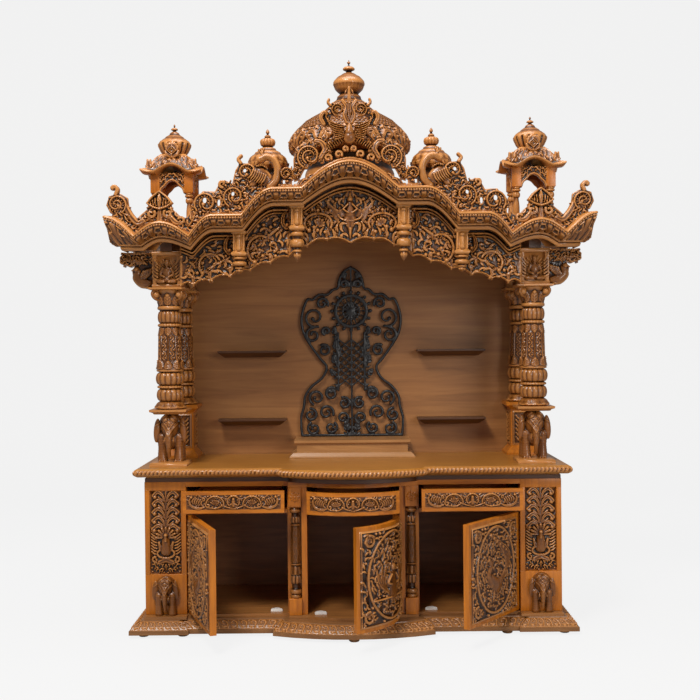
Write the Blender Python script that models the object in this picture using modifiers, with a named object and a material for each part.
"""A large carved wooden home temple: a cupboard with doors and drawers, a counter, and a pillared canopy.

Metres, +Z up, front towards -Y. Pieces are laid out with Y = 0 at the cabinet's face, and the root empty
then puts the middle of the floor area at the origin.
"""
import math

import bmesh
import bpy
from mathutils import Matrix, Vector

# Clearances
SEAT = 0.0003  # between pieces that rest on each other
RUN = 0.005  # round pieces that move
OVERLAP = 0.004  # where two shapes are joined into one

# Cupboard
FOOT_RADIUS = 0.022
FOOT_HEIGHT = 0.015
BODY_HALF_WIDTH = 0.883
PLINTH_REACH = 0.056
PLINTH_HALF_WIDTH = BODY_HALF_WIDTH + PLINTH_REACH
PLINTH_CORNER_Y = -0.095
PLINTH_BAY_Y = -0.077
PLINTH_STEP_X = 0.337
PLINTH_STEP_Y = -0.120
PLINTH_BOW_Y = -0.190
PLINTH_TOP = 0.068
PLINTH_DECK = 0.014
FOOT_INSET = 0.054
FLOOR_BOARD = 0.012
BODY_DEPTH = 0.575
BODY_TOP = 0.643
POST_WIDTH = 0.175
POST_DEPTH = 0.046
POST_FACE_Y = -0.006
POST_PANEL_WIDTH = 0.134
POST_PANEL_LOW = 0.250
POST_PANEL_HIGH = 0.606
POST_PANEL_DEPTH = 0.012
BOARD = 0.018
STILE_INNER_X = 0.195
STILE_OUTER_X = 0.279
STILE_DEPTH = 0.0385
JAMB_WIDTH = 0.023
JAMB_FACE_Y = -0.030
CENTRE_FACE_Y = -0.047
CENTRE_BOW_Y = -0.110
BALUSTER_X = 0.245
BALUSTER_BLOCK = 0.053
BALUSTER_FOOT_BLOCK = 0.070
BALUSTER_HEAD_BLOCK = 0.085
TOP_RAIL = 0.021
SHELF_LOW = 0.505
SHELF_THICK = 0.017
DRAWER_FRONT_THICK = 0.020
DRAWER_WALL = 0.012
DRAWER_BOTTOM = 0.008
DRAWER_DEPTH = 0.400
DRAWER_TRAY_HEIGHT = 0.068
DRAWER_TRAY_INSET = 0.016
DRAWER_PULL = 0.122
DOOR_THICK = 0.026
BOWED_DOOR_THICK = 0.024
DOOR_FACE_Y = -0.004
DOOR_FRAME = 0.040
DOOR_FIELD_DEPTH = 0.006
DOOR_MEDALLION = 0.70
PIN_RADIUS = 0.004
PIN_LENGTH = 0.0105
CATCH_WIDTH = 0.050
CATCH_DEPTH = 0.026
CATCH_HEIGHT = 0.011
SIDE_CATCH_X = 0.330
CENTRE_CATCH_X = -0.140
LEFT_DOOR_ANGLE = -70.0
CENTRE_DOOR_ANGLE = 62.0
RIGHT_DOOR_ANGLE = 53.0

# Counter
COUNTER_REACH = 0.035
COUNTER_HALF_WIDTH = BODY_HALF_WIDTH + COUNTER_REACH
COUNTER_FRONT_Y = -0.052
COUNTER_STEP_X = 0.305
COUNTER_STEP_Y = -0.095
COUNTER_BOW_Y = -0.180
COUNTER_BACK_REACH = 0.015
COUNTER_BACK_Y = BODY_DEPTH + COUNTER_BACK_REACH
COUNTER_NECK = 0.024
COUNTER_NECK_INSET = 0.042
COUNTER_TOP = 0.702

# Shrine back wall and what stands in it
WALL_FACE_Y = 0.555
WALL_THICK = 0.018
WALL_HALF_WIDTH = 0.800
LEDGE_X = 0.465
LEDGE_WIDTH = 0.316
LEDGE_DEPTH = 0.100
LEDGE_THICK = 0.030
LEDGE_TOPS = (1.190, 0.872)
STEP_BACK_Y = 0.545
STEP_LOWER = (0.2855, 0.325, 0.027)  # half width, front, height
STEP_RISER_HALF_WIDTH = 0.2525
STEP_RISER_Y = 0.345
STEP_TOP_HALF_WIDTH = 0.264
STEP_TOP_Y = 0.334
STEP_TOP_BOARD = 0.018
STEP_TOP = 0.782
SCREEN_Y = 0.524
SCREEN_THICK = 0.012
WHEEL_Z = 1.374
WHEEL_RADIUS = 0.081
WHEEL_RIM = 0.010
WHEEL_HUB = 0.014
WHEEL_SPOKES = 16
WHEEL_SPOKE = 0.007

# Pillars
PILLAR_X = 0.790
FRONT_PILLAR_Y = 0.125
REAR_PILLAR_Y = 0.4745
PEDESTAL_WIDTH = 0.160
PEDESTAL_BASE = 0.015
PEDESTAL_TOP = 0.945
PEDESTAL_CAP = 0.020
REAR_PEDESTAL_WIDTH = 0.116
PEDESTAL_ELEPHANT_WIDTH = 0.140
POST_ELEPHANT_WIDTH = 0.105
POST_ELEPHANT_TOP = 0.247
SHAFT_TOP = 1.455
ABACUS_WIDTH = 0.158
ABACUS_TOP = 1.470
CAPITAL_WIDTH = 0.128
CAPITAL_TOP = 1.625
NICHE_WIDTH = 0.088
NICHE_DEPTH = 0.020
BRACKET_THICK = 0.060

# Canopy
EAVE_REACH = 0.232
EAVE_HALF_WIDTH = PILLAR_X + EAVE_REACH
EAVE_FRONT_Y = -0.125
EAVE_BACK_Y = 0.575
EAVE_LIP = 0.012
EAVE_LEDGE_FRONT = 0.020
EAVE_LEDGE_BACK = 0.045
EAVE_LEDGE_RISE = 0.003
EAVE_FOOT_FRONT = 0.070
EAVE_DEPTH = 0.150
EAVE_FOOT_RISE = 0.030
# Stations of the front eave from the middle outwards: across, height of the upper line, of the lower line
EAVE_STATIONS = (
    (0.000, 1.979, 1.900),
    (0.200, 1.869, 1.807),
    (0.318, 1.869, 1.807),
    (0.450, 1.760, 1.700),
    (0.572, 1.760, 1.700),
    (PILLAR_X - 0.121, 1.676, 1.6255),
    (PILLAR_X, 1.733, 1.6615),
    (PILLAR_X + 0.108, 1.676, 1.6255),
    (EAVE_HALF_WIDTH, 1.757, 1.6255),
)
EAVE_SPAN_STEPS = (4, 1, 3, 1, 3, 3, 3, 3)
CORNER_START = 6  # the station from which the eave turns the corner
SIDE_ARCH_PITCH = 0.240
TORANA_THICK = 0.025
TORANA_CUSP = 0.014
CENTRE_TORANA_CUSPS = ((0.262, 1.598), (0.185, 1.642), (0.100, 1.668), (0.000, 1.652))
SIDE_TORANA_CUSPS = (
    (0.342, 1.571), (0.428, 1.540), (0.512, 1.516), (0.600, 1.496), (0.670, 1.480), (0.7257, 1.474),
)
PENDANT_Y = -0.0105
PENDANT_BLOCK = 0.064
INNER_PENDANT = (0.225, 1.807, 1.568)  # across, top, tip
OUTER_PENDANT = (0.470, 1.700, 1.517)
PENDANT_BLOCK_HEIGHT = 0.105
BEAM_THICK = 0.050
DECK_LOW = 1.700
DECK_THICK = 0.018

# Roof ornaments
CREST_THICK = 0.022
CHHATRI_PLACES = (("left", -0.775, 0.225), ("right", 0.785, 0.130))
CHHATRI_SPREAD = 0.186
CHHATRI_POST = 0.040
CHHATRI_BLOCK_LOW = 1.858
CHHATRI_BLOCK_TOP = 1.948
CHHATRI_ARCH_RISE = 0.055
SMALL_DOME_X = 0.362
SMALL_DOME_Y = 0.220
MAIN_DOME_Y = 0.270

WOOD = (0.36, 0.165, 0.055, 1)
PALE_WOOD = (0.42, 0.20, 0.07, 1)
WALL_WOOD = (0.20, 0.11, 0.065, 1)
BLACK = (0.018, 0.018, 0.020, 1)
WHITE = (0.80, 0.80, 0.78, 1)


def clear_scene():
    for obj in list(bpy.data.objects):
        bpy.data.objects.remove(obj, do_unlink=True)


def material(name, colour, roughness):
    made = bpy.data.materials.new(name)
    made.use_nodes = True
    shader = made.node_tree.nodes["Principled BSDF"]
    shader.inputs["Base Color"].default_value = colour
    shader.inputs["Roughness"].default_value = roughness
    shader.inputs["Metallic"].default_value = 0.0
    return made


def add_object(name, mesh):
    obj = bpy.data.objects.new(name, mesh)
    PARTS.objects.link(obj)
    return obj


def from_bmesh(name, bm):
    bmesh.ops.recalc_face_normals(bm, faces=bm.faces)
    mesh = bpy.data.meshes.new(name)
    bm.to_mesh(mesh)
    bm.free()
    return add_object(name, mesh)


def bake(obj):
    """Puts what the modifiers make into the object's own mesh."""
    graph = bpy.context.evaluated_depsgraph_get()
    mesh = bpy.data.meshes.new_from_object(obj.evaluated_get(graph))
    obj.modifiers.clear()
    obj.data = mesh
    return obj


def combine(base, others, operation):
    """Joins the others to base, or cuts them from it, and removes them."""
    for other in others:
        modifier = base.modifiers.new(operation.title(), "BOOLEAN")
        modifier.operation = operation
        modifier.solver = "EXACT"
        modifier.object = other
    bake(base)
    for other in others:
        bpy.data.objects.remove(other, do_unlink=True)
    return base


def join(name, pieces):
    base = combine(pieces[0], pieces[1:], "UNION")
    base.name = name
    return base


def cut(base, cutters):
    return combine(base, cutters, "DIFFERENCE")


def move(obj, x=0.0, y=0.0, z=0.0):
    obj.data.transform(Matrix.Translation((x, y, z)))
    return obj


def mirrored(name, obj):
    """A copy of the object on the other side of the middle plane."""
    bm = bmesh.new()
    bm.from_mesh(obj.data)
    bmesh.ops.scale(bm, vec=(-1, 1, 1), verts=bm.verts)
    bmesh.ops.reverse_faces(bm, faces=bm.faces)
    mesh = bpy.data.meshes.new(name)
    bm.to_mesh(mesh)
    bm.free()
    return add_object(name, mesh)


def box(name, x, y, z):
    """A box between pairs of limits."""
    bm = bmesh.new()
    bmesh.ops.create_cube(bm, size=1)
    size = Vector((x[1] - x[0], y[1] - y[0], z[1] - z[0]))
    middle = Vector((x[0] + x[1], y[0] + y[1], z[0] + z[1])) / 2
    bmesh.ops.scale(bm, vec=size, verts=bm.verts)
    bmesh.ops.translate(bm, vec=middle, verts=bm.verts)
    return from_bmesh(name, bm)


def ball(name, centre, radii, around=8, rings=6):
    bm = bmesh.new()
    bmesh.ops.create_uvsphere(bm, u_segments=around, v_segments=rings, radius=1)
    bmesh.ops.scale(bm, vec=radii, verts=bm.verts)
    bmesh.ops.translate(bm, vec=centre, verts=bm.verts)
    return from_bmesh(name, bm)


def plate(name, outlines, low, high, plane="XY"):
    """A flat outline, with any holes, made into a plate between two depths along the plane's normal."""
    curve = bpy.data.curves.new(name, "CURVE")
    curve.dimensions = "2D"
    curve.fill_mode = "BOTH"
    curve.extrude = (high - low) / 2
    for outline in outlines:
        spline = curve.splines.new("POLY")
        spline.points.add(len(outline) - 1)
        for point, (u, v) in zip(spline.points, outline):
            point.co = (u, v, 0, 1)
        spline.use_cyclic_u = True
    guide = bpy.data.objects.new(name + "_outline", curve)
    PARTS.objects.link(guide)
    graph = bpy.context.evaluated_depsgraph_get()
    mesh = bpy.data.meshes.new_from_object(guide.evaluated_get(graph))
    bpy.data.objects.remove(guide, do_unlink=True)
    bm = bmesh.new()
    bm.from_mesh(mesh)
    bmesh.ops.remove_doubles(bm, verts=bm.verts, dist=0.00001)
    bmesh.ops.translate(bm, vec=(0, 0, (low + high) / 2), verts=bm.verts)
    turns = {
        "XY": Matrix.Identity(3),
        "XZ": Matrix(((1, 0, 0), (0, 0, 1), (0, 1, 0))),
        "YZ": Matrix(((0, 0, 1), (1, 0, 0), (0, 1, 0))),
    }
    bmesh.ops.transform(bm, matrix=turns[plane].to_4x4(), verts=bm.verts)
    return from_bmesh(name, bm)


def loft(name, sections, closed_ends=True):
    """Skins a list of sections, each with as many points as the next."""
    bm = bmesh.new()
    rows = [[bm.verts.new(point) for point in section] for section in sections]
    for low, high in zip(rows, rows[1:]):
        for i in range(len(low)):
            j = (i + 1) % len(low)
            bm.faces.new((low[i], low[j], high[j], high[i]))
    if closed_ends:
        bm.faces.new(rows[0])
        bm.faces.new(rows[-1])
    return from_bmesh(name, bm)


def turned(name, profile, around, at=(0, 0, 0)):
    """A turned solid: the profile runs from the top to the bottom of its outer side, and ends on the axis."""
    mesh = bpy.data.meshes.new(name)
    points = [(max(radius, 0.0), 0, height) for radius, height in profile]
    mesh.from_pydata(points, [(i, i + 1) for i in range(len(points) - 1)], [])
    obj = add_object(name, mesh)
    screw = obj.modifiers.new("Screw", "SCREW")
    screw.steps = around
    screw.render_steps = around
    screw.use_merge_vertices = True
    screw.merge_threshold = 0.0001
    bake(obj)
    obj.data.transform(Matrix.Translation(at))
    obj.data.shade_smooth()
    obj.data.set_sharp_from_angle(angle=math.radians(40))
    return obj


def bulge(high, low, neck, belly, steps=3):
    """A round moulding of a turned profile between two heights."""
    points = []
    for i in range(steps + 1):
        angle = math.pi * (i + 0.5) / (steps + 1)
        height = (high + low) / 2 + (high - low) / 2 * math.cos(angle)
        points.append((neck + (belly - neck) * math.sin(angle), height))
    return points


def arc_y(x, half, edge_y, bow_y):
    """The front of a bowed plan at x: a circular arc through (half, edge_y) and (0, bow_y)."""
    rise = edge_y - bow_y
    radius = (half * half + rise * rise) / (2 * rise)
    return bow_y + radius - math.sqrt(radius * radius - x * x)


def stepped_plan(half, back_y, side_y, step_x, step_y, bow_x, bow_y, inset=0.0, corner=None, steps=8):
    """A plan outline with a stepped and bowed middle, and proud corners where corner gives (x, y)."""
    right = [(half - inset, back_y)]
    if corner:
        corner_x, corner_y = corner
        right += [(half - inset, corner_y + inset), (corner_x + inset, corner_y + inset)]
        right += [(corner_x + inset, side_y + inset)]
    else:
        right += [(half - inset, side_y + inset)]
    right += [(step_x - inset, side_y + inset), (step_x - inset, step_y + inset)]
    bow_half = min(bow_x, step_x - inset)
    front = []
    for i in range(steps + 1):
        x = bow_half - 2 * bow_half * i / steps
        front.append((x, arc_y(x, bow_half, step_y, bow_y) + inset))
    if bow_half == step_x - inset:
        right.pop()
    left = [(-x, y) for x, y in reversed(right)]
    return right + front + left


def slab(name, outline, low, high):
    """A level board with the plan outline between two heights."""
    return loft(name, [[(x, y, height) for x, y in outline] for height in (low, high)])


def moulded_slab(name, plan, profile):
    """A slab whose edge follows a profile of (inset, height), from the bottom up."""
    sections = [[(x, y, height) for x, y in plan(inset)] for inset, height in profile]
    return loft(name, sections)


def elephant(name, width, low, high, x, face_y, depth):
    """An elephant seen from the front: forelegs, domed head, ears and hanging trunk, before a block."""
    height = high - low
    body_back = face_y + depth
    parts = [box(name + "_body", (x - width * 0.40, x + width * 0.40),
                 (face_y + depth * 0.35, body_back), (low + height * 0.30, high))]
    parts.append(ball(name + "_head", (x, face_y + depth * 0.40, low + height * 0.72),
                      (width * 0.34, depth * 0.36, height * 0.26)))
    for side in (-1, 1):
        leg = [(0.0, high - height * 0.5), (width * 0.15, high - height * 0.5), (width * 0.14, low + height * 0.08),
               (width * 0.17, low + height * 0.05), (width * 0.17, low), (0.0, low)]
        parts.append(turned(name + "_leg", leg, 8, (x + side * width * 0.26, face_y + depth * 0.52, 0)))
        parts.append(ball(name + "_ear", (x + side * width * 0.36, face_y + depth * 0.42, low + height * 0.66),
                          (width * 0.135, depth * 0.14, height * 0.21), 6, 4))
    trunk = []
    for i in range(4):
        t = i / 3
        centre = (x, face_y + depth * (0.13 + 0.10 * t), low + height * (0.70 - 0.56 * t))
        radius = width * (0.125 - 0.065 * t)
        ring = [2 * math.pi * k / 6 for k in range(6)]
        trunk.append([(centre[0] + radius * math.cos(a), centre[1] + radius * math.sin(a), centre[2]) for a in ring])
    parts.append(loft(name + "_trunk", trunk))
    parts.append(box(name + "_base", (x - width * 0.46, x + width * 0.46),
                     (face_y + depth * 0.12, body_back), (low, low + height * 0.05)))
    return join(name, parts)


def base_plinth():
    def plan(inset):
        corner = (BODY_HALF_WIDTH - POST_WIDTH - 0.018, PLINTH_CORNER_Y)
        return stepped_plan(PLINTH_HALF_WIDTH, COUNTER_BACK_Y, PLINTH_BAY_Y, PLINTH_STEP_X, PLINTH_STEP_Y,
                            PLINTH_STEP_X, PLINTH_BOW_Y, inset, corner)

    lip = FOOT_HEIGHT + 0.017
    profile = [(0.0, FOOT_HEIGHT), (0.0, lip), (0.006, lip + 0.003), (0.014, lip + 0.014),
               (0.030, PLINTH_TOP - 0.010), (0.042, PLINTH_TOP - 0.006), (0.044, PLINTH_TOP)]
    slab = moulded_slab("base_plinth", plan, profile)
    rail = 0.060
    hollow = box("hollow", (-BODY_HALF_WIDTH + rail, BODY_HALF_WIDTH - rail), (rail, BODY_DEPTH - rail),
                 (0, PLINTH_TOP - PLINTH_DECK))
    cut(slab, [hollow])
    feet = []
    outer = PLINTH_HALF_WIDTH - FOOT_INSET
    for x in (-outer, -POST_INNER_X - 0.012, 0.0, POST_INNER_X - 0.063, outer):
        front = arc_y(x, PLINTH_STEP_X, PLINTH_STEP_Y, PLINTH_BOW_Y) if abs(x) < PLINTH_STEP_X else PLINTH_BAY_Y
        feet.append((x, front + 0.035))
    feet += [(x, COUNTER_BACK_Y - 0.035) for x in (-outer, 0.0, outer)]
    foot = [(0, FOOT_HEIGHT + OVERLAP), (FOOT_RADIUS, FOOT_HEIGHT + OVERLAP), (FOOT_RADIUS, 0.003),
            (FOOT_RADIUS - 0.003, 0), (0, 0)]
    return join("base_plinth", [slab] + [turned("foot", foot, 10, (x, y, 0)) for x, y in feet])


def carcass_plan(inset=0.0, corner=None, half=BODY_HALF_WIDTH, back_y=BODY_DEPTH, face_y=POST_FACE_Y):
    step_x = BALUSTER_X + BALUSTER_BLOCK / 2 + SEAT
    return stepped_plan(half, back_y, face_y, step_x, CENTRE_FACE_Y, STILE_INNER_X, CENTRE_BOW_Y, inset, corner)


FLOOR_LOW = PLINTH_TOP + SEAT
FLOOR_TOP = FLOOR_LOW + FLOOR_BOARD
STAND = FLOOR_TOP + SEAT  # where posts and boards stand
HANG = BODY_TOP - SEAT  # where posts and boards end under the counter
RAIL_LOW = HANG - TOP_RAIL
SHELF_TOP = SHELF_LOW + SHELF_THICK
POST_INNER_X = BODY_HALF_WIDTH - POST_WIDTH
DOOR_LOW = FLOOR_TOP + RUN
DOOR_HIGH = SHELF_LOW - RUN
HINGE_X = POST_INNER_X - RUN - DOOR_THICK / 2
HINGE_Y = DOOR_FACE_Y + DOOR_THICK / 2


def bow_radius():
    rise = CENTRE_FACE_Y - CENTRE_BOW_Y
    return (STILE_INNER_X ** 2 + rise ** 2) / (2 * rise)


def bow_point(x, depth):
    """A point of the bowed front at x, measured on the face, moved in by a depth."""
    radius = bow_radius()
    angle = math.asin(x / radius)
    return ((radius - depth) * math.sin(angle), CENTRE_BOW_Y + radius - (radius - depth) * math.cos(angle))


def centre_hinge():
    radius = bow_radius() - BOWED_DOOR_THICK / 2
    x = STILE_INNER_X - RUN - BOWED_DOOR_THICK / 2
    return x, CENTRE_BOW_Y + bow_radius() - math.sqrt(radius ** 2 - x ** 2)


def pin_hole(x, y, low, high):
    hole = [(0, high), (PIN_RADIUS + SEAT, high), (PIN_RADIUS + SEAT, low), (0, low)]
    return turned("pin_hole", hole, 16, (x, y, 0))


def pin(x, y, low, high):
    shape = [(0, high), (PIN_RADIUS, high), (PIN_RADIUS, low), (0, low)]
    return turned("pin", shape, 16, (x, y, 0))


def cabinet_floor():
    corner = (POST_INNER_X - 0.004, POST_FACE_Y - 0.044)
    outline = carcass_plan(0.0, corner)
    board = slab("cabinet_floor", outline, FLOOR_LOW, FLOOR_TOP)
    low = FLOOR_TOP - PIN_LENGTH + RUN - SEAT
    holes = [pin_hole(-HINGE_X, HINGE_Y, low, FLOOR_TOP + 0.01), pin_hole(HINGE_X, HINGE_Y, low, FLOOR_TOP + 0.01)]
    holes.append(pin_hole(*centre_hinge(), low, FLOOR_TOP + 0.01))
    return cut(board, holes)


def framed_board(name, x, y, z, frame, depth, faces):
    """A board with a sunk field on the named faces."""
    board = box(name, x, y, z)
    fields = []
    for face in faces:
        if face == "-X":
            fields.append(box("field", (x[0] - depth, x[0] + depth), (y[0] + frame, y[1] - frame),
                              (z[0] + frame, z[1] - frame)))
        elif face == "+X":
            fields.append(box("field", (x[1] - depth, x[1] + depth), (y[0] + frame, y[1] - frame),
                              (z[0] + frame, z[1] - frame)))
        elif face == "-Y":
            fields.append(box("field", (x[0] + frame, x[1] - frame), (y[0] - depth, y[0] + depth),
                              (z[0] + frame, z[1] - frame)))
        else:
            fields.append(box("field", (x[0] + frame, x[1] - frame), (y[1] - depth, y[1] + depth),
                              (z[0] + frame, z[1] - frame)))
    return cut(board, fields)


def cabinet_sides():
    limits = (BODY_HALF_WIDTH - BOARD, BODY_HALF_WIDTH)
    depth = (POST_FACE_Y + POST_DEPTH + SEAT, BODY_DEPTH - BOARD - SEAT)
    right = framed_board("cabinet_side_right", limits, depth, (STAND, HANG), 0.070, 0.006, ["+X"])
    return [right, mirrored("cabinet_side_left", right)]


def cabinet_back():
    return framed_board("cabinet_back", (-BODY_HALF_WIDTH, BODY_HALF_WIDTH), (BODY_DEPTH - BOARD, BODY_DEPTH),
                        (STAND, HANG), 0.080, 0.005, ["+Y"])


def corner_posts():
    x = (POST_INNER_X, BODY_HALF_WIDTH)
    post = box("post", x, (POST_FACE_Y, POST_FACE_Y + POST_DEPTH), (STAND, HANG))
    middle = (x[0] + x[1]) / 2
    half = POST_PANEL_WIDTH / 2
    field = box("field", (middle - half, middle + half), (POST_FACE_Y - 0.01, POST_FACE_Y + POST_PANEL_DEPTH),
                (POST_PANEL_LOW, POST_PANEL_HIGH))
    cut(post, [field])
    depth = 0.048
    figure = elephant("figure", POST_ELEPHANT_WIDTH, STAND, POST_ELEPHANT_TOP, middle,
                      POST_FACE_Y - depth + OVERLAP, depth)
    right = join("corner_post_right", [post, figure])
    return [right, mirrored("corner_post_left", right)]


def partitions():
    top = RAIL_LOW - SEAT
    stile = box("stile", (STILE_INNER_X, STILE_OUTER_X), (0.0065, 0.0065 + STILE_DEPTH), (STAND, top))
    jamb = box("jamb", (STILE_INNER_X, STILE_INNER_X + JAMB_WIDTH), (JAMB_FACE_Y, 0.0065 + OVERLAP), (STAND, top))
    middle = BALUSTER_X
    board = box("board", (middle - BOARD / 2, middle + BOARD / 2),
                (0.0065 + STILE_DEPTH - OVERLAP, BODY_DEPTH - BOARD - SEAT), (STAND, top))
    right = join("partition_right", [stile, jamb, board])
    return [right, mirrored("partition_left", right)]


def balusters():
    low, high = STAND, RAIL_LOW - SEAT
    half = BALUSTER_BLOCK / 2
    y = CENTRE_FACE_Y + half
    turned_low = low + BALUSTER_FOOT_BLOCK
    turned_high = high - BALUSTER_HEAD_BLOCK
    length = turned_high - turned_low
    stations = [(0.98, 0.017), (0.955, 0.024), (0.935, 0.017), (0.88, 0.022), (0.82, 0.025), (0.75, 0.019),
                (0.72, 0.024), (0.69, 0.016), (0.45, 0.021), (0.33, 0.024), (0.30, 0.017), (0.27, 0.024),
                (0.18, 0.025), (0.10, 0.018), (0.06, 0.024), (0.02, 0.020)]
    profile = [(0, turned_high + OVERLAP), (0.022, turned_high + OVERLAP)]
    profile += [(radius, turned_low + length * t) for t, radius in stations]
    profile += [(0.020, turned_low - OVERLAP), (0, turned_low - OVERLAP)]
    blocks = [box("block", (BALUSTER_X - half, BALUSTER_X + half), (y - half, y + half), span)
              for span in ((low, turned_low), (turned_high, high))]
    right = join("baluster_right", [turned("spindle", profile, 10, (BALUSTER_X, y, 0))] + blocks)
    return [right, mirrored("baluster_left", right)]


def top_rail():
    outline = carcass_plan(0.0, None, POST_INNER_X - SEAT, 0.040)
    return slab("top_rail", outline, RAIL_LOW, HANG)


def drawer_shelves():
    stile_back = 0.0065 + STILE_DEPTH + SEAT
    board_x = BALUSTER_X + BOARD / 2 + SEAT
    back = BODY_DEPTH - BOARD - 0.04
    post_back = POST_FACE_Y + POST_DEPTH + SEAT
    side = [
        (STILE_OUTER_X + SEAT, POST_FACE_Y), (POST_INNER_X - SEAT, POST_FACE_Y), (POST_INNER_X - SEAT, post_back),
        (BODY_HALF_WIDTH - BOARD - SEAT, post_back), (BODY_HALF_WIDTH - BOARD - SEAT, back), (board_x, back),
        (board_x, stile_back), (STILE_OUTER_X + SEAT, stile_back),
    ]
    right = slab("drawer_shelf_right", side, SHELF_LOW, SHELF_TOP)
    bore = SHELF_LOW - RUN + PIN_LENGTH + SEAT
    cut(right, [pin_hole(HINGE_X, HINGE_Y, SHELF_LOW - 0.01, bore)])
    left = mirrored("drawer_shelf_left", right)
    half = STILE_INNER_X - SEAT
    inner_x = BALUSTER_X - BOARD / 2 - SEAT
    steps = 10
    front = []
    for i in range(steps + 1):
        x = half - 2 * half * i / steps
        front.append((x, arc_y(x, STILE_INNER_X, CENTRE_FACE_Y, CENTRE_BOW_Y)))
    middle = [(inner_x, back), (inner_x, stile_back), (half, stile_back)] + front
    middle += [(-half, stile_back), (-inner_x, stile_back), (-inner_x, back)]
    centre = slab("drawer_shelf_centre", middle, SHELF_LOW, SHELF_TOP)
    cut(centre, [pin_hole(*centre_hinge(), SHELF_LOW - 0.01, bore)])
    return [left, centre, right]


def drawer_tray(x_low, x_high, front_y):
    """The box of a drawer, open at the top, with its front edge inside the drawer's front."""
    low = SHELF_TOP + SEAT
    high = low + DRAWER_TRAY_HEIGHT
    tray = box("tray", (x_low, x_high), (front_y, front_y + DRAWER_DEPTH), (low, high))
    room = box("room", (x_low + DRAWER_WALL, x_high - DRAWER_WALL),
               (front_y + DRAWER_WALL, front_y + DRAWER_DEPTH - DRAWER_WALL), (low + DRAWER_BOTTOM, high + 0.01))
    return cut(tray, [room])


def side_drawer():
    x = (STILE_OUTER_X + RUN, POST_INNER_X - RUN)
    z = (SHELF_TOP + RUN, RAIL_LOW - RUN)
    y = (POST_FACE_Y - DRAWER_PULL, POST_FACE_Y - DRAWER_PULL + DRAWER_FRONT_THICK)
    front = framed_board("front", x, y, z, 0.014, 0.003, ["-Y"])
    tray = drawer_tray(x[0] + DRAWER_TRAY_INSET, x[1] - DRAWER_TRAY_INSET, y[1] - OVERLAP)
    right = join("drawer_right", [front, tray])
    return [right, mirrored("drawer_left", right)]


def bowed_strip(x_low, x_high, outer, inner, steps):
    """A plan strip of the bowed front between two depths under its face."""
    xs = [x_high + (x_low - x_high) * i / steps for i in range(steps + 1)]
    return [bow_point(x, outer) for x in xs] + [bow_point(x, inner) for x in reversed(xs)]


def centre_drawer():
    half = STILE_INNER_X - RUN
    z = (SHELF_TOP + RUN, RAIL_LOW - RUN)
    steps = 8
    xs = [half - 2 * half * i / steps for i in range(steps + 1)]
    face = [(x, arc_y(x, STILE_INNER_X, CENTRE_FACE_Y, CENTRE_BOW_Y)) for x in xs]
    back_y = CENTRE_FACE_Y + DRAWER_FRONT_THICK
    inner = half - 0.030
    inner_xs = [-inner + 2 * inner * i / steps for i in range(steps + 1)]
    back = [(x, arc_y(x, STILE_INNER_X, CENTRE_FACE_Y, CENTRE_BOW_Y) + DRAWER_FRONT_THICK) for x in inner_xs]
    outline = face + [(-half, back_y)] + back + [(half, back_y)]
    front = plate("front", [outline], *z)
    field_half = half - 0.014
    field = [(x * field_half / half, y + 0.003) for x, y in face]
    field += [(x, y - 0.03) for x, y in reversed(field)]
    cut(front, [plate("field", [field], z[0] + 0.014, z[1] - 0.014)])
    tray = drawer_tray(-half + DRAWER_TRAY_INSET, half - DRAWER_TRAY_INSET, back_y - 0.012)
    drawer = join("drawer_centre", [front, tray])
    return move(drawer, y=-DRAWER_PULL)


def oval(x, z, half_width, half_height, count):
    turns = [2 * math.pi * i / count for i in range(count)]
    return [(x + half_width * math.cos(a), z + half_height * math.sin(a)) for a in turns]


def side_door(name, side, angle):
    """A flat door, closed along X from its hinge, then turned about the hinge to where it stands open."""
    width = POST_INNER_X - STILE_OUTER_X - 2 * RUN - DOOR_THICK / 2
    half = DOOR_THICK / 2
    round_steps = 8
    outline = [(width, half), (width, -half)]
    for i in range(round_steps + 1):
        turn = -math.pi / 2 - math.pi * i / round_steps
        outline.append((half * math.cos(turn), half * math.sin(turn)))
    leaf = plate("leaf", [outline], DOOR_LOW, DOOR_HIGH)
    field = box("field", (DOOR_FRAME - half, width - DOOR_FRAME), (-half - 0.01, -half + DOOR_FIELD_DEPTH),
                (DOOR_LOW + DOOR_FRAME, DOOR_HIGH - DOOR_FRAME))
    cut(leaf, [field])
    middle_x = (width - half) / 2
    middle_z = (DOOR_LOW + DOOR_HIGH) / 2
    half_width = (width + half - 2 * DOOR_FRAME) / 2 * 0.86
    half_height = (DOOR_HIGH - DOOR_LOW - 2 * DOOR_FRAME) / 2 * 0.94
    medallion = plate("medallion", [oval(middle_x, middle_z, half_width, half_height, 16)],
                      -half + 0.0015, -half + DOOR_FIELD_DEPTH + OVERLAP, "XZ")
    pins = [pin(0, 0, DOOR_LOW - PIN_LENGTH, DOOR_LOW + OVERLAP), pin(0, 0, DOOR_HIGH - OVERLAP, DOOR_HIGH + PIN_LENGTH)]
    door = join(name, [leaf, medallion] + pins)
    if side > 0:
        flipped = mirrored(name + "_turned", door)
        bpy.data.objects.remove(door, do_unlink=True)
        flipped.name = name
        door = flipped
    return hang(door, (side * HINGE_X, HINGE_Y), angle)


def hang(door, axis, angle):
    """Parents a door, modelled round its hinge line, to an empty on that line."""
    pivot = bpy.data.objects.new(door.name + "_hinge", None)
    PARTS.objects.link(pivot)
    pivot.location = (axis[0], axis[1], 0)
    pivot.rotation_euler = (0, 0, math.radians(angle))
    door.parent = pivot
    return door


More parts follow.
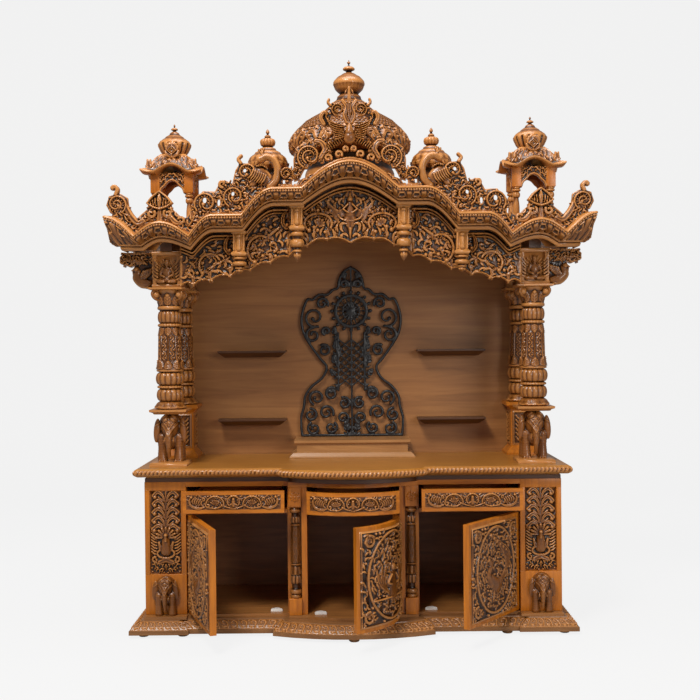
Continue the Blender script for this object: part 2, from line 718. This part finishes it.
def centre_door():
    axis_x, axis_y = centre_hinge()
    thick = BOWED_DOOR_THICK
    radius = bow_radius()
    middle_y = CENTRE_BOW_Y + radius
    hinge_turn = math.asin(axis_x / (radius - thick / 2))
    free_turn = math.asin((STILE_INNER_X - RUN) / radius)
    steps = 12

    def along(depth, turn):
        return ((radius - depth) * math.sin(turn) - axis_x, middle_y - (radius - depth) * math.cos(turn) - axis_y)

    turns = [hinge_turn + (-free_turn - hinge_turn) * i / steps for i in range(steps + 1)]
    cap = []
    for i in range(1, 8):
        turn = hinge_turn + math.pi / 2 - math.pi * i / 8
        cap.append((thick / 2 * math.cos(turn), thick / 2 * math.sin(turn)))
    outline = [along(0, t) for t in turns] + [along(thick, t) for t in reversed(turns)] + cap
    leaf = plate("leaf", [outline], DOOR_LOW, DOOR_HIGH)
    edge = DOOR_FRAME / radius
    field_turns = [hinge_turn - edge + (edge * 2 - free_turn - hinge_turn) * i / steps for i in range(steps + 1)]
    field = [along(-0.01, t) for t in field_turns]
    field += [along(DOOR_FIELD_DEPTH, t) for t in reversed(field_turns)]
    cut(leaf, [plate("field", [field], DOOR_LOW + DOOR_FRAME, DOOR_HIGH - DOOR_FRAME)])
    pins = [pin(0, 0, DOOR_LOW - PIN_LENGTH, DOOR_LOW + OVERLAP), pin(0, 0, DOOR_HIGH - OVERLAP, DOOR_HIGH + PIN_LENGTH)]
    door = join("door_centre", [leaf] + pins)
    return hang(door, (axis_x, axis_y), CENTRE_DOOR_ANGLE)


def door_catches():
    """White half-octagon catches on the cabinet floor, just behind the closed doors' free edges."""
    places = [("left", -SIDE_CATCH_X, DOOR_FACE_Y + DOOR_THICK + RUN), ("right", SIDE_CATCH_X, DOOR_FACE_Y + DOOR_THICK + RUN)]
    radius = bow_radius()
    corner = abs(CENTRE_CATCH_X) + CATCH_WIDTH / 2
    door_back = CENTRE_BOW_Y + radius - math.sqrt((radius - BOWED_DOOR_THICK) ** 2 - corner ** 2)
    places.append(("centre", CENTRE_CATCH_X, door_back + RUN))
    made = []
    for word, x, front in places:
        sections = []
        for inset, height in ((0, STAND), (0, STAND + CATCH_HEIGHT - 0.003), (0.003, STAND + CATCH_HEIGHT)):
            half, chamfer, back = CATCH_WIDTH / 2 - inset, 0.016, front + CATCH_DEPTH - inset
            plan = [(-half, front), (half, front), (half, back - chamfer), (half - chamfer, back),
                    (chamfer - half, back), (-half, back - chamfer)]
            sections.append([(x + u, y, height) for u, y in plan])
        made.append(loft("door_catch_" + word, sections))
    return made


def counter_top():
    def plan(inset):
        return stepped_plan(COUNTER_HALF_WIDTH, COUNTER_BACK_Y, COUNTER_FRONT_Y, COUNTER_STEP_X, COUNTER_STEP_Y,
                            COUNTER_STEP_X, COUNTER_BOW_Y, inset)

    neck_top = BODY_TOP + COUNTER_NECK
    profile = [(COUNTER_NECK_INSET, BODY_TOP), (COUNTER_NECK_INSET, neck_top - 0.003), (0.012, neck_top),
               (0.002, neck_top + 0.006), (0.0, neck_top + 0.012), (0.0, COUNTER_TOP - 0.012),
               (0.002, COUNTER_TOP - 0.006), (0.010, COUNTER_TOP)]
    return moulded_slab("counter_top", plan, profile)


def back_panel():
    return box("back_panel", (-WALL_HALF_WIDTH, WALL_HALF_WIDTH), (WALL_FACE_Y, WALL_FACE_Y + WALL_THICK),
               (COUNTER_TOP + SEAT, DECK_LOW - SEAT))


def wall_ledges():
    made = []
    names = ("wall_shelf_upper", "wall_shelf_lower")
    for name, top in zip(names, LEDGE_TOPS):
        for side, word in ((-1, "left"), (1, "right")):
            sections = []
            for inset, height in ((0.030, 0), (0.022, 0.006), (0.004, 0.020), (0.0, 0.022), (0.0, 0.030)):
                z = top - LEDGE_THICK + height
                x0 = side * LEDGE_X - LEDGE_WIDTH / 2 + inset
                x1 = side * LEDGE_X + LEDGE_WIDTH / 2 - inset
                y0 = WALL_FACE_Y - SEAT - LEDGE_DEPTH + inset
                y1 = WALL_FACE_Y - SEAT
                sections.append([(x0, y0, z), (x1, y0, z), (x1, y1, z), (x0, y1, z)])
            made.append(loft(name + "_" + word, sections))
    return made


def stepped_plinth():
    half, front, height = STEP_LOWER
    low = COUNTER_TOP + SEAT

    def ring(half_width, y, z):
        return [(-half_width, y, z), (half_width, y, z), (half_width, STEP_BACK_Y, z), (-half_width, STEP_BACK_Y, z)]

    riser_low, board_low = COUNTER_TOP + height, STEP_TOP - STEP_TOP_BOARD
    sections = [ring(half, front, low), ring(half, front, low + 0.004), ring(half - 0.003, front + 0.002, low + 0.009),
                ring(half - 0.018, front + 0.010, riser_low - 0.004), ring(STEP_RISER_HALF_WIDTH, STEP_RISER_Y, riser_low),
                ring(STEP_RISER_HALF_WIDTH, STEP_RISER_Y, board_low), ring(STEP_TOP_HALF_WIDTH - 0.006, STEP_TOP_Y + 0.006, board_low),
                ring(STEP_TOP_HALF_WIDTH, STEP_TOP_Y, board_low + 0.006), ring(STEP_TOP_HALF_WIDTH, STEP_TOP_Y, STEP_TOP)]
    return loft("stepped_plinth", sections)


def both_sides(half):
    """Closes a right half outline, listed upwards, with its mirror image."""
    return half + [(-x, z) for x, z in reversed(half) if x > 0]


def carved_screen():
    """The black openwork screen: a wheel between curled arms, over a waisted trellis and a leafy foot."""
    low = STEP_TOP + SEAT
    half = [
        (0.235, low), (0.243, 0.830), (0.243, 0.873), (0.228, 0.925), (0.222, 0.975), (0.190, 1.020), (0.140, 1.060),
        (0.120, 1.110), (0.150, 1.150), (0.196, 1.215), (0.226, 1.270), (0.238, 1.331), (0.226, 1.390), (0.214, 1.425),
        (0.196, 1.440), (0.196, 1.405), (0.170, 1.440), (0.135, 1.460), (0.105, 1.455), (0.088, 1.480), (0.064, 1.485),
        (0.058, 1.520), (0.040, 1.560), (0.018, 1.582), (0.0, 1.586),
    ]
    outline = both_sides(half)
    holes = []
    eyes = [
        (0.170, 1.335, 0.030, 0.045), (0.120, 1.385, 0.013, 0.024), (0.125, 1.275, 0.016, 0.026),
        (0.165, 1.240, 0.014, 0.018), (0.060, 1.200, 0.020, 0.050), (0.100, 1.165, 0.012, 0.020),
        (0.035, 1.500, 0.012, 0.026), (0.080, 1.010, 0.018, 0.035), (0.175, 0.960, 0.022, 0.030),
        (0.120, 0.900, 0.022, 0.035), (0.200, 0.870, 0.018, 0.030), (0.060, 0.860, 0.018, 0.035),
    ]
    for x, z, half_width, half_height in eyes:
        for side in (-1, 1):
            holes.append(oval(side * x, z, half_width, half_height, 7))
    inner = WHEEL_RADIUS - WHEEL_RIM
    pitch = 2 * math.pi / WHEEL_SPOKES
    for i in range(WHEEL_SPOKES):
        middle = pitch * (i + 0.5)
        wide = pitch / 2 - WHEEL_SPOKE / 2 / inner
        narrow = pitch / 2 - WHEEL_SPOKE / 2 / (WHEEL_HUB + 0.012)
        gap = []
        for turn, radius in ((-narrow, WHEEL_HUB + 0.012), (-wide, inner), (wide, inner), (narrow, WHEEL_HUB + 0.012)):
            gap.append((radius * math.cos(middle + turn), WHEEL_Z + radius * math.sin(middle + turn)))
        holes.append(gap)
    return plate("carved_screen", [outline] + holes, SCREEN_Y, SCREEN_Y + SCREEN_THICK, "XZ")


def square_ring(x, y, half, z):
    return [(x - half, y - half, z), (x + half, y - half, z), (x + half, y + half, z), (x - half, y + half, z)]


def square_stack(name, x, y, profile):
    """A stack with square plan from (half width, height) pairs, from the bottom up."""
    return loft(name, [square_ring(x, y, half, z) for half, z in profile])


def elephant_pedestals():
    low = COUNTER_TOP + SEAT
    half = PEDESTAL_WIDTH / 2
    base_top = COUNTER_TOP + PEDESTAL_BASE
    cap_low = PEDESTAL_TOP - PEDESTAL_CAP
    base = square_stack("base", PILLAR_X, FRONT_PILLAR_Y,
                        [(half, low), (half, base_top - 0.004), (half - 0.004, base_top)])
    cap = square_stack("cap", PILLAR_X, FRONT_PILLAR_Y,
                       [(half - 0.018, cap_low), (half, cap_low + 0.010), (half, PEDESTAL_TOP - SEAT)])
    depth = PEDESTAL_WIDTH * 0.92
    figure = elephant("figure", PEDESTAL_ELEPHANT_WIDTH, base_top - OVERLAP, cap_low + OVERLAP, PILLAR_X,
                      FRONT_PILLAR_Y - depth / 2, depth)
    right = join("elephant_pedestal_right", [base, cap, figure])
    return [right, mirrored("elephant_pedestal_left", right)]


def rear_pedestals():
    low = COUNTER_TOP + SEAT
    half = REAR_PEDESTAL_WIDTH / 2
    rise = PEDESTAL_TOP
    profile = [(half + 0.022, low), (half + 0.022, low + 0.010), (half + 0.004, low + 0.032), (half, low + 0.036),
               (half, rise - 0.034), (half + 0.012, rise - 0.022), (half + 0.022, rise - 0.016),
               (half + 0.022, rise - SEAT)]
    right = square_stack("rear_pedestal_right", PILLAR_X, REAR_PILLAR_Y, profile)
    return [right, mirrored("rear_pedestal_left", right)]


def shaft_profile():
    """The turned shaft from the capital down: bell, ribbed bulb, tapered stem, two ribbed bulbs and a flared foot."""
    profile = [(0, SHAFT_TOP + OVERLAP), (0.060, SHAFT_TOP + OVERLAP), (0.062, 1.440), (0.044, 1.392), (0.050, 1.386),
               (0.050, 1.378), (0.042, 1.372)]
    profile += bulge(1.368, 1.318, 0.040, 0.051)
    profile += [(0.047, 1.312), (0.047, 1.304), (0.041, 1.298), (0.047, 1.150), (0.057, 1.112), (0.044, 1.106)]
    profile += bulge(1.104, 1.050, 0.046, 0.061)
    profile += [(0.051, 1.042), (0.047, 1.034)]
    profile += bulge(1.024, 0.984, 0.044, 0.058)
    profile += [(0.050, 0.976), (0.067, 0.952), (0.067, PEDESTAL_TOP), (0, PEDESTAL_TOP)]
    return profile


def bracket_outline():
    """The carved bracket on the outer side of a capital, from the block outwards."""
    side = PILLAR_X + CAPITAL_WIDTH / 2 - OVERLAP
    top = CAPITAL_TOP - SEAT
    steps = [(0, 1.474), (0.030, 1.470), (0.072, 1.482), (0.094, 1.510), (0.100, 1.545), (0.088, 1.566), (0.128, 1.568),
             (0.150, 1.585), (0.152, 1.605), (0.130, top), (0, top)]
    return [(side + out, z) for out, z in steps]


def pillars():
    made = []
    for y, word in ((FRONT_PILLAR_Y, "front"), (REAR_PILLAR_Y, "rear")):
        shaft = turned("shaft", shaft_profile(), 12, (PILLAR_X, y, 0))
        abacus = square_stack("abacus", PILLAR_X, y, [(0.058, SHAFT_TOP), (ABACUS_WIDTH / 2, SHAFT_TOP + 0.006),
                                                      (ABACUS_WIDTH / 2, ABACUS_TOP)])
        half = CAPITAL_WIDTH / 2
        back = min(y + half, WALL_FACE_Y - SEAT)
        block = box("block", (PILLAR_X - half, PILLAR_X + half), (y - half, back),
                    (ABACUS_TOP - OVERLAP, CAPITAL_TOP - SEAT))
        pieces = [shaft, abacus, block]
        if word == "front":
            pieces.append(plate("bracket", [bracket_outline()], y - BRACKET_THICK / 2, y + BRACKET_THICK / 2, "XZ"))
        pillar = join(word + "_pillar_right", pieces)
        if word == "front":
            niche = box("niche", (PILLAR_X - NICHE_WIDTH / 2, PILLAR_X + NICHE_WIDTH / 2),
                        (y - half - 0.01, y - half + NICHE_DEPTH), (ABACUS_TOP + 0.016, CAPITAL_TOP - 0.022))
            cut(pillar, [niche])
        made += [pillar, mirrored(word + "_pillar_left", pillar)]
    return made


def quarter(start, end, t):
    """A quarter wave between two heights, steep at the lower one and level at the higher one."""
    if start >= end:
        return end + (start - end) * math.cos(math.pi / 2 * t)
    return start + (end - start) * math.sin(math.pi / 2 * t)


def eave_samples():
    """Points of the front eave's half from the middle out: across, upper line, lower line."""
    samples = [EAVE_STATIONS[0]]
    for first, last, steps in zip(EAVE_STATIONS, EAVE_STATIONS[1:], EAVE_SPAN_STEPS):
        for i in range(1, steps + 1):
            t = i / steps
            samples.append((first[0] + (last[0] - first[0]) * t, quarter(first[1], last[1], t),
                            quarter(first[2], last[2], t)))
    return samples


def side_samples():
    """Points of a side eave from its corner to the back: distance from the corner, upper line, lower line."""
    corner = [(EAVE_HALF_WIDTH - x, top, low) for x, top, low in eave_samples() if x >= EAVE_STATIONS[CORNER_START][0]]
    corner.reverse()
    peak, valley = EAVE_STATIONS[CORNER_START], EAVE_STATIONS[CORNER_START + 1]
    samples = corner[:]
    start = corner[-1][0]
    depth = EAVE_BACK_Y - EAVE_FRONT_Y
    waves = [(start + 0.108, valley), (start + 0.108 + 0.030, valley), (start + 0.258, peak), (depth - 0.090, valley),
             (depth, valley)]
    last_s, last = start, peak
    for s, station in waves:
        steps = 1 if station is last else 3
        for i in range(1, steps + 1):
            t = i / steps
            samples.append((last_s + (s - last_s) * t, quarter(last[1], station[1], t), quarter(last[2], station[2], t)))
        last_s, last = s, station
    return samples


EAVE_SECTION = (  # inward depth, 0 on the upper line to 1 on the lower one, extra height
    (0.0, 0.0, 0.0),
    (0.0, 0.0, -EAVE_LIP),
    (EAVE_FOOT_FRONT, 1.0, 0.0),
    (EAVE_DEPTH, 1.0, 0.0),
    (EAVE_DEPTH, 1.0, EAVE_FOOT_RISE),
    (EAVE_LEDGE_BACK, 0.0, EAVE_LEDGE_RISE),
    (EAVE_LEDGE_FRONT, 0.0, EAVE_LEDGE_RISE),
)


def eave_cornice():
    """One wavy flaring section along the front, mitred at both corners and led back along the sides."""
    turn_x = EAVE_STATIONS[CORNER_START][0]

    def front_section(sign, x, top, low):
        section = []
        for inward, share, rise in EAVE_SECTION:
            across = x
            if x > turn_x:
                across = turn_x + (x - turn_x) * (EAVE_HALF_WIDTH - inward - turn_x) / (EAVE_HALF_WIDTH - turn_x)
            section.append((sign * across, EAVE_FRONT_Y + inward, top + (low - top) * share + rise))
        return section

    def side_section(sign, s, top, low):
        section = []
        turn = EAVE_HALF_WIDTH - turn_x
        for inward, share, rise in EAVE_SECTION:
            along = s if s > turn else inward + s * (turn - inward) / turn
            section.append((sign * (EAVE_HALF_WIDTH - inward), EAVE_FRONT_Y + along, top + (low - top) * share + rise))
        return section

    front, side = eave_samples(), side_samples()
    sections = [side_section(-1, *sample) for sample in reversed(side)]
    sections += [front_section(-1, *sample) for sample in reversed(front[:-1])]
    sections += [front_section(1, *sample) for sample in front[1:-1]]
    sections += [side_section(1, *sample) for sample in side]
    return loft("eave_cornice", sections)


def cusped(points, rise):
    """A lower edge through the points, with each span bowed up."""
    edge = [points[0]]
    for (x0, z0), (x1, z1) in zip(points, points[1:]):
        for t in (0.25, 0.5, 0.75, 1.0):
            edge.append((x0 + (x1 - x0) * t, z0 + (z1 - z0) * t + rise * math.sin(math.pi * t)))
    return edge


def pendant(across, top, tip):
    """A square block with a turned drop under it, which hangs under the eave."""
    half = PENDANT_BLOCK / 2
    y = PENDANT_Y
    low = top - PENDANT_BLOCK_HEIGHT
    block = square_stack("block", across, y, [(half - 0.006, low), (half, low + 0.008), (half, low + 0.018),
                                              (half - 0.008, low + 0.026), (half - 0.008, top - 0.016),
                                              (half, top - 0.010), (half, top - SEAT)])
    drop = low - tip
    profile = [(0, low + OVERLAP), (0.020, low + OVERLAP), (0.018, low - drop * 0.06), (0.031, low - drop * 0.20),
               (0.033, low - drop * 0.34), (0.024, low - drop * 0.50), (0.014, low - drop * 0.60),
               (0.021, low - drop * 0.70), (0.016, low - drop * 0.84), (0.005, low - drop * 0.94), (0, tip)]
    return [block, turned("drop", profile, 10, (across, y, 0))]


def torana(name, outline, pendants):
    y = EAVE_FRONT_Y + EAVE_DEPTH + SEAT
    pieces = [plate("web", [outline], y, y + TORANA_THICK, "XZ")]
    for across, top, tip in pendants:
        pieces += pendant(across, top, tip)
        half = PENDANT_BLOCK / 2 - 0.012
        pieces.append(box("tenon", (across - half, across + half), (PENDANT_Y, y + OVERLAP),
                          (top - PENDANT_BLOCK_HEIGHT + 0.030, top - 0.020)))
    return join(name, pieces)


def toranas():
    """The cusped boards behind the eave, with the pendants fixed to them."""
    top_rise = EAVE_FOOT_RISE - 0.002
    samples = eave_samples()
    edge_x = CENTRE_TORANA_CUSPS[0][0]

    def upper(x_low, x_high):
        return [(x, low + top_rise) for x, top, low in samples if x_low < x < x_high]

    flat = EAVE_STATIONS[1][2] + top_rise
    right_top = upper(-1, edge_x) + [(edge_x, flat)]
    lower = cusped(list(CENTRE_TORANA_CUSPS), TORANA_CUSP)
    half = right_top + lower
    outline = half + [(-x, z) for x, z in reversed(half) if x > 0]
    inner_across, inner_top, inner_tip = INNER_PENDANT
    centre = torana("arch_centre", outline, [(side * inner_across, inner_top, inner_tip) for side in (-1, 1)])
    x0 = edge_x + SEAT
    x1 = SIDE_TORANA_CUSPS[-1][0]
    end_top = EAVE_STATIONS[5][2] + top_rise
    cusps = [(x0, CENTRE_TORANA_CUSPS[0][1] - 0.004)] + list(SIDE_TORANA_CUSPS)
    side_outline = [(x0, flat)] + upper(x0, x1 - 0.03) + [(x1, end_top)] + list(reversed(cusped(cusps, TORANA_CUSP)))
    right = torana("arch_right", side_outline, [OUTER_PENDANT])
    return [centre, right, mirrored("arch_left", right)]


def side_arches():
    """The beam over the two pillars of a side, with a cusped web between them."""
    low = CAPITAL_TOP
    high = DECK_LOW - SEAT
    half = CAPITAL_WIDTH / 2
    front = FRONT_PILLAR_Y + half + SEAT
    back = REAR_PILLAR_Y - half - SEAT
    span = back - front
    drops = [(0.0, 0.148), (0.16, 0.105), (0.34, 0.06), (0.5, 0.035), (0.66, 0.06), (0.84, 0.105), (1.0, 0.148)]
    cusps = [(front + span * t, low - drop) for t, drop in drops]
    start = EAVE_FRONT_Y + EAVE_DEPTH + SEAT + TORANA_THICK + SEAT
    outline = [(start, low), (front, low)] + cusped(cusps, TORANA_CUSP) + [(back, low), (WALL_FACE_Y - SEAT, low)]
    outline += [(WALL_FACE_Y - SEAT, high), (start, high)]
    right = plate("arch_side_right", [outline], PILLAR_X - BEAM_THICK / 2, PILLAR_X + BEAM_THICK / 2, "YZ")
    return [right, mirrored("arch_side_left", right)]


def canopy_board():
    half = EAVE_HALF_WIDTH - EAVE_DEPTH - SEAT
    front = EAVE_FRONT_Y + EAVE_DEPTH + SEAT + TORANA_THICK + SEAT
    return box("canopy_board", (-half, half), (front, EAVE_BACK_Y), (DECK_LOW, DECK_LOW + DECK_THICK))


def ledge_height(x):
    """The height of the eave's ledge at x, where a crest stands."""
    turn_x = EAVE_STATIONS[CORNER_START][0]
    samples = eave_samples()
    heights = []
    for inward in (EAVE_LEDGE_FRONT, EAVE_LEDGE_BACK):
        across = x
        if x > turn_x:
            across = turn_x + (x - turn_x) * (EAVE_HALF_WIDTH - turn_x) / (EAVE_HALF_WIDTH - inward - turn_x)
        for (x0, top0, _), (x1, top1, _) in zip(samples, samples[1:]):
            if x0 <= across <= x1:
                heights.append(top0 + (top1 - top0) * (across - x0) / (x1 - x0))
    return max(heights) + EAVE_LEDGE_RISE


def crest_foot(x_low, x_high):
    """The lower edge of a crest, just clear of the eave's ledge."""
    turn_x = EAVE_STATIONS[CORNER_START][0]
    xs = sorted({x_low, x_high} | {x for x, _, _ in eave_samples() if x_low < x < x_high and x <= turn_x})
    extra = [turn_x + 0.010 * i for i in range(1, 40) if x_low < turn_x + 0.010 * i < x_high]
    return [(x, ledge_height(x) + (SEAT if x <= turn_x else 0.0012)) for x in sorted(set(xs + extra))]


CREST_SPLIT = 0.236
CREST_END = EAVE_HALF_WIDTH - 0.054
# Upper outline of a side crest from its outer end: curl, valley, palmette, scrolls and the bird's back
SIDE_CREST = (
    (0.985, 1.790), (0.990, 1.820), (0.978, 1.852), (0.952, 1.866), (0.938, 1.884), (0.930, 1.870), (0.920, 1.840),
    (0.908, 1.800), (0.896, 1.760), (0.880, 1.742), (0.862, 1.760), (0.850, 1.790), (0.836, 1.800), (0.818, 1.832),
    (0.790, 1.860), (0.764, 1.832), (0.744, 1.800), (0.732, 1.790), (0.716, 1.756), (0.690, 1.742), (0.668, 1.768),
    (0.640, 1.820), (0.600, 1.850), (0.560, 1.848), (0.540, 1.872), (0.512, 1.892), (0.485, 1.880), (0.470, 1.900),
    (0.462, 1.945), (0.440, 1.968), (0.424, 1.992), (0.392, 2.012), (0.372, 2.030), (0.356, 2.012), (0.340, 1.978),
    (0.322, 1.960), (0.306, 1.970), (0.280, 1.952), (0.252, 1.950),
)
SIDE_CREST_EYES = (  # across, height, half width, half height
    (0.950, 1.812, 0.016, 0.022), (0.826, 1.768, 0.012, 0.012), (0.754, 1.768, 0.012, 0.012), (0.790, 1.806, 0.012, 0.014),
    (0.640, 1.770, 0.016, 0.016), (0.590, 1.800, 0.018, 0.018), (0.520, 1.830, 0.020, 0.022), (0.455, 1.862, 0.014, 0.016),
    (0.412, 1.900, 0.016, 0.020), (0.366, 1.930, 0.014, 0.018), (0.300, 1.915, 0.013, 0.016),
)
# Upper right half outline of the middle crest, from its foot to the top of the spread bird
CENTRE_CREST = (
    (0.226, 1.972), (0.214, 2.016), (0.190, 2.050), (0.160, 2.066), (0.134, 2.054), (0.118, 2.060), (0.112, 2.100),
    (0.116, 2.150), (0.108, 2.190), (0.086, 2.214), (0.064, 2.206), (0.052, 2.226), (0.034, 2.262), (0.018, 2.284),
    (0.0, 2.290),
)
CENTRE_CREST_EYES = (
    (0.165, 2.012, 0.022, 0.020), (0.110, 2.020, 0.014, 0.016), (0.080, 2.150, 0.014, 0.020), (0.052, 2.060, 0.016, 0.018),
    (0.036, 2.216, 0.008, 0.016),
)


def crests():
    """The openwork crests that stand on the eave: one over the middle and one on each side."""
    y = EAVE_FRONT_Y + EAVE_LEDGE_FRONT + 0.0015
    depth = (y, y + CREST_THICK)
    foot = crest_foot(CREST_SPLIT + SEAT, CREST_END)
    outline = foot + list(SIDE_CREST)
    eyes = [oval(x, z, w, h, 7) for x, z, w, h in SIDE_CREST_EYES]
    right = plate("crest_right", [outline] + eyes, *depth, "XZ")
    left = mirrored("crest_left", right)
    middle_foot = crest_foot(0.0, CREST_SPLIT)
    half = middle_foot + list(CENTRE_CREST)
    outline = half + [(-x, z) for x, z in reversed(half) if x > 0]
    eyes = [oval(side * x, z, w, h, 7) for x, z, w, h in CENTRE_CREST_EYES for side in (-1, 1)]
    return [left, plate("crest_centre", [outline] + eyes, *depth, "XZ"), right]


def chhatri(name, x, y):
    """A small open pavilion on four posts, with a hipped roof, a petalled cap and a finial."""
    low = DECK_LOW + DECK_THICK + SEAT
    half = CHHATRI_SPREAD / 2
    inner = half - CHHATRI_POST
    head = box("head", (x - half, x + half), (y - half, y + half), (CHHATRI_BLOCK_LOW, CHHATRI_BLOCK_TOP))
    arch = [(-inner, CHHATRI_BLOCK_LOW - 0.01), (inner, CHHATRI_BLOCK_LOW - 0.01), (inner, CHHATRI_BLOCK_LOW + 0.012)]
    for i in range(1, 6):
        turn = math.pi * i / 6
        arch.append((inner * math.cos(turn), CHHATRI_BLOCK_LOW + 0.012 + CHHATRI_ARCH_RISE * math.sin(turn)))
    arch.append((-inner, CHHATRI_BLOCK_LOW + 0.012))
    cut(head, [plate("arch", [[(x + u, z) for u, z in arch]], y - half - 0.01, y + half + 0.01, "XZ"),
               plate("arch", [[(y + u, z) for u, z in arch]], x - half - 0.01, x + half + 0.01, "YZ")])
    post = [(0, CHHATRI_BLOCK_LOW + OVERLAP), (0.016, CHHATRI_BLOCK_LOW + OVERLAP), (0.018, CHHATRI_BLOCK_LOW - 0.010),
            (0.013, CHHATRI_BLOCK_LOW - 0.018), (0.018, CHHATRI_BLOCK_LOW - 0.030), (0.012, CHHATRI_BLOCK_LOW - 0.042),
            (0.016, low + 0.030), (0.019, low + 0.022), (0.019, low), (0, low)]
    offset = half - CHHATRI_POST / 2
    posts = [turned("post", post, 6, (x + sx * offset, y + sy * offset, 0)) for sx in (-1, 1) for sy in (-1, 1)]
    top = CHHATRI_BLOCK_TOP
    roof = square_stack("roof", x, y, [(half - 0.010, top - OVERLAP), (half + 0.030, top + 0.004),
                                       (half + 0.032, top + 0.014), (half + 0.010, top + 0.034),
                                       (half - 0.018, top + 0.070), (half - 0.040, top + 0.112)])
    cap = [(0, 2.200), (0.012, 2.182), (0.005, 2.172), (0.020, 2.158), (0.012, 2.148), (0.058, 2.124), (0.074, 2.102),
           (0.076, 2.084), (0.052, 2.054), (0, 2.054)]
    return join(name, [head] + posts + [roof, turned("cap", cap, 12, (x, y, 0))])


def chhatris():
    """The two pavilions: as on the real one, the left one stands further back than the right one."""
    return [chhatri("chhatri_" + word, x, y) for word, x, y in CHHATRI_PLACES]


def small_domes():
    low = DECK_LOW + DECK_THICK + SEAT
    profile = [(0, 2.174), (0.005, 2.170), (0.010, 2.158), (0.005, 2.148), (0.014, 2.140), (0.028, 2.132), (0.035, 2.116),
               (0.030, 2.098), (0.022, 2.090), (0.036, 2.078), (0.066, 2.058), (0.084, 2.030), (0.090, 2.008),
               (0.088, 1.998), (0.066, 1.990), (0.055, 1.978), (0.055, low), (0, low)]
    right = turned("small_dome_right", profile, 12, (SMALL_DOME_X, SMALL_DOME_Y, 0))
    return [right, mirrored("small_dome_left", right)]


def main_dome():
    low = DECK_LOW + DECK_THICK + SEAT
    profile = [(0, 2.489), (0.006, 2.480), (0.014, 2.460), (0.022, 2.444), (0.012, 2.432), (0.018, 2.424),
               (0.030, 2.412), (0.060, 2.398), (0.074, 2.372), (0.070, 2.348), (0.052, 2.334), (0.044, 2.324)]
    centre_z, radius, squash = 2.120, 0.270, 0.80
    for i in range(7):
        turn = math.radians(78 - i * 15)
        profile.append((radius * math.cos(turn), centre_z + radius * squash * math.sin(turn)))
    profile += [(0.236, 2.084), (0.205, 2.074), (0.190, 2.066), (0.190, 1.990), (0.200, 1.984), (0.200, low), (0, low)]
    return turned("main_dome", profile, 20, (0, MAIN_DOME_Y, 0))


def cupboard():
    made = [base_plinth(), cabinet_floor(), cabinet_back(), top_rail(), counter_top(), centre_drawer(), centre_door()]
    made += cabinet_sides() + corner_posts() + partitions() + balusters() + drawer_shelves() + side_drawer()
    made += door_catches()
    made += [side_door("door_left", -1, LEFT_DOOR_ANGLE), side_door("door_right", 1, RIGHT_DOOR_ANGLE)]
    return made


def shrine():
    made = [back_panel(), stepped_plinth(), carved_screen(), canopy_board(), eave_cornice(), main_dome()]
    made += wall_ledges() + elephant_pedestals() + rear_pedestals() + pillars() + toranas() + side_arches()
    made += crests() + chhatris() + small_domes()
    return made


def world_limits_y(objects):
    graph = bpy.context.evaluated_depsgraph_get()
    low, high = math.inf, -math.inf
    for obj in objects:
        world = obj.evaluated_get(graph).matrix_world
        for vertex in obj.data.vertices:
            y = (world @ vertex.co).y
            low, high = min(low, y), max(high, y)
    return low, high


def finish(objects):
    """Gives each piece its material and hangs all of them on the root empty over the middle of the floor area."""
    finishes = {
        "back_panel": material("wall_wood", WALL_WOOD, 0.45),
        "carved_screen": material("black_screen", BLACK, 0.4),
        "stepped_plinth": material("pale_wood", PALE_WOOD, 0.4),
    }
    white = material("white_catch", WHITE, 0.3)
    finishes.update({"door_catch_" + word: white for word in ("left", "centre", "right")})
    wood = material("carved_wood", WOOD, 0.38)
    for obj in objects:
        obj.data.materials.clear()
        obj.data.materials.append(finishes.get(obj.name, wood))
        obj.data.name = obj.name
    bpy.context.view_layer.update()
    low, high = world_limits_y(objects)
    root = bpy.data.objects.new("temple_root", None)
    PARTS.objects.link(root)
    root.location.y = -(low + high) / 2
    for obj in list(PARTS.objects):
        if obj is not root and obj.parent is None:
            obj.parent = root


clear_scene()
PARTS = bpy.data.collections.new("home_temple")
bpy.context.scene.collection.children.link(PARTS)
finish(cupboard() + shrine())
